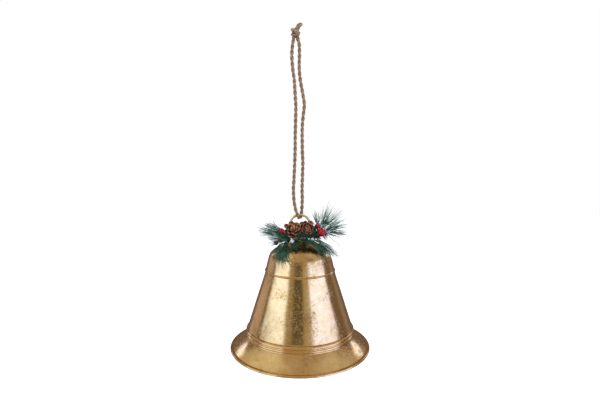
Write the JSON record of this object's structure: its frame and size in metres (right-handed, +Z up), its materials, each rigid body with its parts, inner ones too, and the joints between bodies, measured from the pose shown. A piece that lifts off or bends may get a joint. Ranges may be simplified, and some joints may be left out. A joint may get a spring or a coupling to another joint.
{
  "type": "christmas bell ornament",
  "caption": "Hanging sheet-brass bell with flared lip, wire ring, looped jute cord, inner clapper, and a crown cluster of pine cones, berries and frosted pine sprigs.",
  "frame": {"origin": "centre of the bell's mouth, on the plane that its rim rests on", "axes": "+Z up the hanging axis, -Y towards the front where the cones are, hanging ring in the XZ plane"},
  "size_m": [0.174, 0.174, 0.3964],
  "materials": {
    "aged_brass": "aged leafed brass, speckled, semi-bright",
    "ring_brass": "satin brass wire",
    "plain_steel": "zinc plated",
    "dark_iron": "dark bronze lacquer",
    "jute": "twisted jute",
    "pinecone": "dry natural scales with tan edges",
    "berry_red": "clear lacquer",
    "berry_dark": "lacquered",
    "snow_white": "frosted",
    "pine_green": "frosted tips",
    "green_wire": "green lacquer",
    "glue_pad": "glue and green tape"
  },
  "bodies": {
    "cord": {"hanging_cord": "jute"},
    "ring": {"hanging_ring": "ring_brass"},
    "bell": {"crown_dome": "aged_brass", "cone_body": "aged_brass", "flared_skirt": "aged_brass", "crown_eye": "ring_brass", "outer_washer": "plain_steel", "inner_washer": "plain_steel", "push_nut": "plain_steel", "base_pad": "glue_pad", "floral_wire": "green_wire", "pinecone_left": "pinecone", "pinecone_right": "pinecone", "pinecone_wires": "green_wire", "berry_stems": "green_wire", "berry_left": "berry_red", "berry_right_upper": "berry_red", "berry_right_lower": "berry_red", "dark_berry": "berry_dark", "frosted_bead": "snow_white", "sprig_left_upper": "pine_green", "sprig_left_side": "pine_green", "sprig_left_droop": "pine_green", "sprig_right_upper": "pine_green", "sprig_right_side": "pine_green", "sprig_right_lower": "pine_green", "sprig_stems": "green_wire"},
    "link": {"clapper_link": "plain_steel"},
    "clapper": {"clapper_rod": "plain_steel", "clapper_ball": "dark_iron", "clapper_stop": "plain_steel"}
  },
  "joints": [
    {"name": "ring_sway", "type": "hinge", "parent": "cord", "child": "ring", "pos_m": [0, 0, 0.1531], "axis": [0, 1, 0], "range_deg": [-20, 20]},
    {"name": "bell_swing", "type": "hinge", "parent": "ring", "child": "bell", "pos_m": [0, 0, 0.1409], "axis": [1, 0, 0], "range_deg": [-5, 40]},
    {"name": "clapper_swing_front", "type": "hinge", "parent": "bell", "child": "link", "pos_m": [0, 0, 0.11475], "axis": [1, 0, 0], "range_deg": [-23, 23]},
    {"name": "clapper_swing_side", "type": "hinge", "parent": "link", "child": "clapper", "pos_m": [0, 0, 0.10915], "axis": [0, 1, 0], "range_deg": [-23, 23]}
  ]
}
